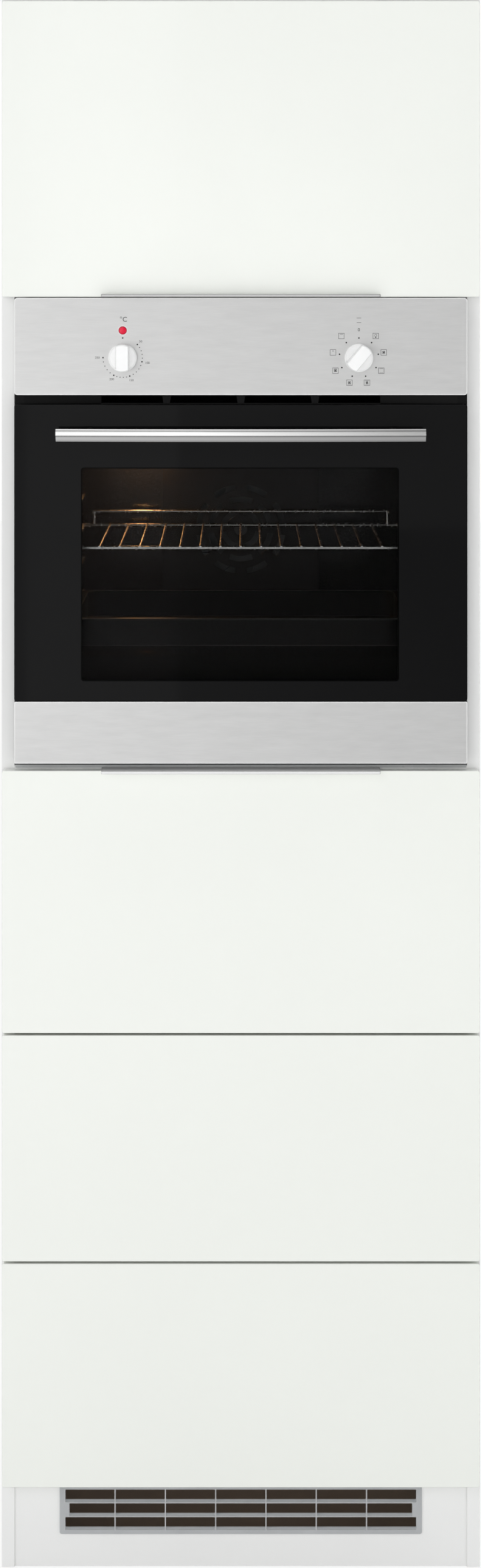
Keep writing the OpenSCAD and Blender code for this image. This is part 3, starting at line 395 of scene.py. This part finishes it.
    # Door: black print behind glass, its darker border, and the clear window
    m = Look("door_print", (0.004, 0.004, 0.0042), 0.03, Specular_IOR_Level=0.1)
    m.roughness(m.noise(8), 0.02, 0.05)
    looks["door_glass"] = m.mat
    m = Look("window_border", (0.0, 0.0, 0.0), 0.03, Specular_IOR_Level=0.05)
    m.roughness(m.noise(8), 0.02, 0.05)
    looks["window_border"] = m.mat
    m = Look("window_glass", (0.6, 0.6, 0.61), 0.0, Transmission_Weight=1.0, IOR=1.1)
    looks["window_glass"] = m.mat
    m = Look("inner_glass", (0.9, 0.91, 0.9), 0.0, Transmission_Weight=1.0, IOR=1.08)
    looks["inner_glass"] = m.mat

    m = Look("ink", (0.009, 0.009, 0.01), 0.5, Specular_IOR_Level=0.2)
    m.tint(m.noise(900), 0.8, 1.3)
    looks["ink"] = m.mat
    return looks


LOOKS = make_looks()
SLOTS = {row["node"]: row["material_slot"] for row in frame["record"]["subparts"]}
OWN_LOOKS = {"fan_cover": "cover_enamel", "air_slot_trim": "slot_black", "door_handle_bar": "bar_metal",
             "flap_handle": "flap_grip", "drawer_1_handle": "drawer_grip", "fan_impeller": "fan_steel",
             "baking_tray": "tray_enamel"}
for name, obj in nodes.items():
    look = LOOKS[OWN_LOOKS.get(name, SLOTS[name])]
    if not obj.material_slots:
        obj.data.materials.append(look)
    for slot in obj.material_slots:
        slot.material = look


# Pieces

def add_piece(name, bm, looks, body):
    """One object from a finished bmesh, with its looks, on a body of the frame."""
    mesh = bpy.data.meshes.new(name)
    bm.normal_update()
    bm.to_mesh(mesh)
    bm.free()
    obj = bpy.data.objects.new(name, mesh)
    bpy.context.scene.collection.objects.link(obj)
    for look in looks:
        mesh.materials.append(LOOKS[look])
    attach(obj, body)
    return obj


def rounded_loop(x0, x1, z0, z1, r):
    """Points of a rounded rectangle in (x, z), counter-clockwise seen from -y."""
    steps = 6
    points = []
    corners = ((x1 - r, z1 - r, 0), (x0 + r, z1 - r, 90), (x0 + r, z0 + r, 180), (x1 - r, z0 + r, 270))
    for cx, cz, start in corners:
        for i in range(steps + 1):
            a = math.radians(start + 90 * i / steps)
            points.append((cx + r * math.cos(a), cz + r * math.sin(a)))
    return points


def door_pane():
    """Front pane: printed black but for the window, with ground edges."""
    lo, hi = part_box("door_glass")
    # Window's upper left and lower right corners in the photograph
    corner = on_plane(135, 770.13, lo.y)
    foot = on_plane(654, 1117.28, lo.y)
    win = (corner.x, foot.x, foot.z, corner.z)
    c, line = 0.8 * MM, 1.6 * MM       # ground edge, border round the window
    y0, y1 = lo.y, hi.y
    rim = rounded_loop(lo.x, hi.x, lo.z, hi.z, 3 * MM)
    face = rounded_loop(lo.x + c, hi.x - c, lo.z + c, hi.z - c, 2.4 * MM)
    border = rounded_loop(win[0] - line, win[1] + line, win[2] - line, win[3] + line, 4 * MM)
    window = rounded_loop(*win, 3 * MM)
    bm = bmesh.new()

    def ring(points, y):
        return [bm.verts.new((x, y, z)) for x, z in points]

    def bridge(a, b, mat):
        for i in range(len(a)):
            j = (i + 1) % len(a)
            bm.faces.new((a[i], a[j], b[j], b[i])).material_index = mat

    front = [ring(rim, y0 + c), ring(face, y0), ring(border, y0), ring(window, y0)]
    back = [ring(rim, y1 - c), ring(face, y1), ring(border, y1), ring(window, y1)]
    for side, rings in ((0, front), (1, back)):
        for k, mat in ((0, 0), (1, 0), (2, 1)):
            bridge(rings[k], rings[k + 1], mat)
        bm.faces.new(rings[3]).material_index = 2
    bridge(front[0], back[0], 0)
    bmesh.ops.recalc_face_normals(bm, faces=bm.faces)
    looks = ("door_glass", "window_border", "window_glass")
    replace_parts(add_piece("door_pane", bm, looks, "oven_door"), "door_glass")


# Printed marks on the control panel

def disc(bm, x, z, r, y, sides=16):
    angles = [2 * math.pi * i / sides for i in range(sides)]
    bm.faces.new([bm.verts.new((x + r * math.cos(a), y, z + r * math.sin(a))) for a in angles])


def bar(bm, x0, x1, z0, z1, y):
    bm.faces.new([bm.verts.new(p) for p in ((x0, y, z0), (x1, y, z0), (x1, y, z1), (x0, y, z1))])


def frame_lines(bm, x, z, half, w, y):
    bar(bm, x - half, x + half, z + half - w, z + half, y)
    bar(bm, x - half, x + half, z - half, z - half + w, y)
    bar(bm, x - half, x - half + w, z - half + w, z + half - w, y)
    bar(bm, x + half - w, x + half, z - half + w, z + half - w, y)


def text(bm, words, x, z, size, y):
    curve = bpy.data.curves.new("words", "FONT")
    curve.body = words
    curve.size = size
    curve.align_x = "CENTER"
    curve.align_y = "CENTER"
    curve.resolution_u = 3
    obj = bpy.data.objects.new("words", curve)
    bpy.context.scene.collection.objects.link(obj)
    bpy.context.view_layer.update()
    mesh = bpy.data.meshes.new_from_object(obj)
    mesh.transform(Matrix.Translation((x, y, z)) @ Matrix.Rotation(math.pi / 2, 4, "X"))
    bm.from_mesh(mesh)
    bpy.data.objects.remove(obj)
    bpy.data.meshes.remove(mesh)


def blade_fan(bm, x, z, r, y):
    for k in range(4):
        a = math.radians(45 + 90 * k)
        tip, side = (math.cos(a), math.sin(a)), (-math.sin(a), math.cos(a))
        # Each corner as shares of the radius, outwards and sideways
        pts = [[r * (out * tip[i] + across * side[i]) for i in (0, 1)]
               for out, across in ((0, 0), (0.55, 0.46), (1, 0), (0.5, -0.3))]
        bm.faces.new([bm.verts.new((x + p[0], y, z + p[1])) for p in pts])


def panel_marks():
    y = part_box("control_panel")[0].y - 0.04 * MM      # a film of ink on the panel
    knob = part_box("temperature_knob")
    kz = (knob[0].z + knob[1].z) / 2
    kx = (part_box("function_knob")[0].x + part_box("function_knob")[1].x) / 2
    bm = bmesh.new()
    # Temperature scale
    x0 = -kx
    ring, big_dot, small_dot = 24.6 * MM, 0.95 * MM, 0.6 * MM
    stops = ((0, ""), (48, "50"), (102, "100"), (159, "150"), (207, "200"), (270, "250"))
    for i, (angle, words) in enumerate(stops):
        a = math.radians(90 - angle)
        disc(bm, x0 + ring * math.cos(a), kz + ring * math.sin(a), big_dot, y)
        if words:
            out = ring + (5.6 if angle not in (102, 270) else 7.0) * MM
            text(bm, words, x0 + out * math.cos(a), kz + out * math.sin(a), 3.9 * MM, y)
        if 0 < i < len(stops) - 1:
            for k in range(1, 5):
                b = math.radians(90 - angle - (stops[i + 1][0] - angle) * k / 5)
                disc(bm, x0 + ring * math.cos(b), kz + ring * math.sin(b), small_dot, y, 12)
    degree = on_plane(203, 525, y)
    text(bm, "°C", degree.x, degree.z, 8.6 * MM, y)
    # Function scale
    for k in range(9):
        a = math.radians(90 - 40 * k)
        disc(bm, kx + ring * math.cos(a), kz + ring * math.sin(a), big_dot, y)
    zero = on_plane(589.5, 542, y)
    text(bm, "0", kx, zero.z, 5.8 * MM, y)
    for py in (522.4, 529.8):
        p = on_plane(589.5, py, y)
        bar(bm, kx - 2.8 * MM, kx + 2.8 * MM, p.z - 0.22 * MM, p.z + 0.22 * MM, y)
    half, w = 3.7 * MM, 0.42 * MM
    # Where each framed sign stands in the photograph
    signs = {"lamp": (617.8, 552), "fan": (631, 579), "both": (627, 609),
             "fan_both": (603.5, 628.7), "fan_low": (574.6, 628.7),
             "fan_grill": (551.6, 609), "small": (547.6, 579), "large": (561.4, 552)}
    for kind, (px, py) in signs.items():
        p = on_plane(px, py, y)
        frame_lines(bm, p.x, p.z, half, w, y)
        if kind.startswith("fan"):
            blade_fan(bm, p.x, p.z, 2.15 * MM, y)
        if kind == "lamp":
            for k in range(12):
                a, b = (math.radians(-60 + 300 * (k + t) / 12) for t in (0, 1))
                edges = ((1.6, a), (1.6, b), (1.2, b), (1.2, a))
                pts = [(r * math.cos(t), r * math.sin(t)) for r, t in edges]
                bm.faces.new([bm.verts.new((p.x + q[0] * MM, y, p.z + (q[1] + 0.7) * MM)) for q in pts])
            bar(bm, p.x - 0.7 * MM, p.x + 0.7 * MM, p.z - 2.3 * MM, p.z - 0.8 * MM, y)
        if kind in ("both", "fan_both"):
            bar(bm, p.x - 2.4 * MM, p.x + 2.4 * MM, p.z + 2.4 * MM, p.z + 2.7 * MM, y)
        if kind in ("both", "fan_both", "fan_low"):
            bar(bm, p.x - 2.4 * MM, p.x + 2.4 * MM, p.z - 2.7 * MM, p.z - 2.4 * MM, y)
        if kind in ("fan_grill", "large"):
            bar(bm, p.x - 1.9 * MM, p.x + 1.9 * MM, p.z + 1.95 * MM, p.z + 2.4 * MM, y)
        if kind == "small":
            bar(bm, p.x - 1.1 * MM, p.x + 1.1 * MM, p.z + 1.4 * MM, p.z + 1.9 * MM, y)
    add_piece("panel_marks", bm, ("ink",), "cabinet")


door_pane()
panel_marks()


# Studio

def light(name, place, aim, size, power):
    data = bpy.data.lights.new(name, "AREA")
    data.shape = "RECTANGLE"
    data.size, data.size_y = size
    data.energy = power
    obj = bpy.data.objects.new(name, data)
    obj.location = place
    obj.rotation_euler = (Vector(aim) - Vector(place)).to_track_quat("-Z", "Y").to_euler()
    obj.visible_camera = False
    bpy.context.scene.collection.objects.link(obj)
    return obj


def studio():
    world = bpy.data.worlds.new("studio")
    bpy.context.scene.world = world
    world.use_nodes = True
    tree = world.node_tree
    tree.nodes.clear()
    out = tree.nodes.new("ShaderNodeOutputWorld")
    mix = tree.nodes.new("ShaderNodeMixShader")
    path = tree.nodes.new("ShaderNodeLightPath")
    seen = tree.nodes.new("ShaderNodeBackground")
    ambient = tree.nodes.new("ShaderNodeBackground")
    room = tree.nodes.new("ShaderNodeBackground")
    seen.inputs[0].default_value = (1, 1, 1, 1)
    seen.inputs[1].default_value = 1.0
    ambient.inputs[0].default_value = (0.98, 0.99, 1, 1)
    coord = tree.nodes.new("ShaderNodeTexCoord")
    parts = tree.nodes.new("ShaderNodeSeparateXYZ")
    tree.links.new(coord.outputs["Generated"], parts.inputs[0])

    def ramp(value, start, end, low, high):
        n = tree.nodes.new("ShaderNodeMapRange")
        n.interpolation_type = "SMOOTHSTEP"
        for key, number in (("From Min", start), ("From Max", end), ("To Min", low), ("To Max", high)):
            n.inputs[key].default_value = number
        tree.links.new(value, n.inputs[0])
        return n.outputs[0]

    # Soft light from all round, less of it from the front, where the lamps are
    tree.links.new(ramp(parts.outputs[1], -0.55, 0.25, 0.42, 1.08), ambient.inputs[1])
    product = tree.nodes.new("ShaderNodeMath")
    product.operation = "MULTIPLY"
    # The room that metal mirrors: dark to the right, brighter above
    tree.links.new(ramp(parts.outputs[0], -0.09, 0.33, 1.28, 0.18), product.inputs[0])
    tree.links.new(ramp(parts.outputs[2], 0.15, 0.7, 1.0, 1.25), product.inputs[1])
    tree.links.new(product.outputs[0], room.inputs[1])
    either = tree.nodes.new("ShaderNodeMath")
    either.operation = "MAXIMUM"
    tree.links.new(path.outputs["Is Camera Ray"], either.inputs[0])
    tree.links.new(path.outputs["Is Transmission Ray"], either.inputs[1])
    gloss = tree.nodes.new("ShaderNodeMixShader")
    tree.links.new(path.outputs["Is Glossy Ray"], gloss.inputs[0])
    tree.links.new(ambient.outputs[0], gloss.inputs[1])
    tree.links.new(room.outputs[0], gloss.inputs[2])
    tree.links.new(either.outputs[0], mix.inputs[0])
    tree.links.new(gloss.outputs[0], mix.inputs[1])
    tree.links.new(seen.outputs[0], mix.inputs[2])
    tree.links.new(mix.outputs[0], out.inputs[0])

    # Pale floor, and a darker brown patch of floor under the cabinet that shows through the grille
    for name, color, x0, x1, y0, y1, z in (
            ("floor", (0.9, 0.9, 0.9), -FLOOR, FLOOR, -FLOOR, FLOOR, -0.0005),
            ("floor_inside", (0.27, 0.195, 0.14), -0.283, 0.283, FACE + 0.02, FACE + 0.54, -0.0002)):
        look = Look(name, color, 0.9)
        look.tint(look.noise(2), 0.99, 1.0)
        if name == "floor":
            look.glow_behind(0.8, 0.88)
        bm = bmesh.new()
        bm.faces.new([bm.verts.new(p) for p in ((x0, y0, z), (x1, y0, z), (x1, y1, z), (x0, y1, z))])
        mesh = bpy.data.meshes.new(name)
        bm.to_mesh(mesh)
        bm.free()
        obj = bpy.data.objects.new(name, mesh)
        mesh.materials.append(look.mat)
        bpy.context.scene.collection.objects.link(obj)

    key = light("key", (-2.2, -4.6, 3.2), (0, 0, 1.0), (2.6, 2.6), 38.5)
    key.visible_glossy = False
    light("fill", (2.9, -3.2, 1.2), (0, 0, 0.6), (2.0, 2.0), 14.5)
    light("low", (-2.6, -4.2, 0.9), (0, 0, 0.4), (2.0, 1.4), 13.5)
    front = light("front", (0, -5.0, 1.35), (0, 0, 0.7), (0.9, 1.2), 44.5)
    front.visible_glossy = False
    front.visible_transmission = False
    light("band", (-0.42, -6.2, 1.6), (-0.42, 0, 1.6), (0.46, 4.6), 2.4)

    lamp = bpy.data.lights.new("oven_glow", "POINT")
    lamp.energy = 1.4
    lamp.color = (1.0, 0.5, 0.18)
    lamp.shadow_soft_size = 0.012
    glow = bpy.data.objects.new("oven_glow", lamp)
    glow.location = (-0.138, FACE + 0.42, 1.373)
    bpy.context.scene.collection.objects.link(glow)


def camera():
    cam = bpy.data.cameras.new("camera")
    cam.sensor_width = 36.0
    seen_h = PHOTO_H / PX           # height of the picture on the front plane
    cam.lens = 36.0 * VIEW_D / seen_h
    cam.shift_y = ((FLOOR_PX - PHOTO_H / 2) / PX - VIEW_Z) / seen_h
    cam.shift_x = -0.5 / PHOTO_H
    obj = bpy.data.objects.new("camera", cam)
    obj.location = (0, FACE - VIEW_D, VIEW_Z)
    obj.rotation_euler = (math.pi / 2, 0, 0)
    bpy.context.scene.collection.objects.link(obj)
    bpy.context.scene.camera = obj


studio()
camera()
bpy.context.scene.view_settings.view_transform = "Standard"
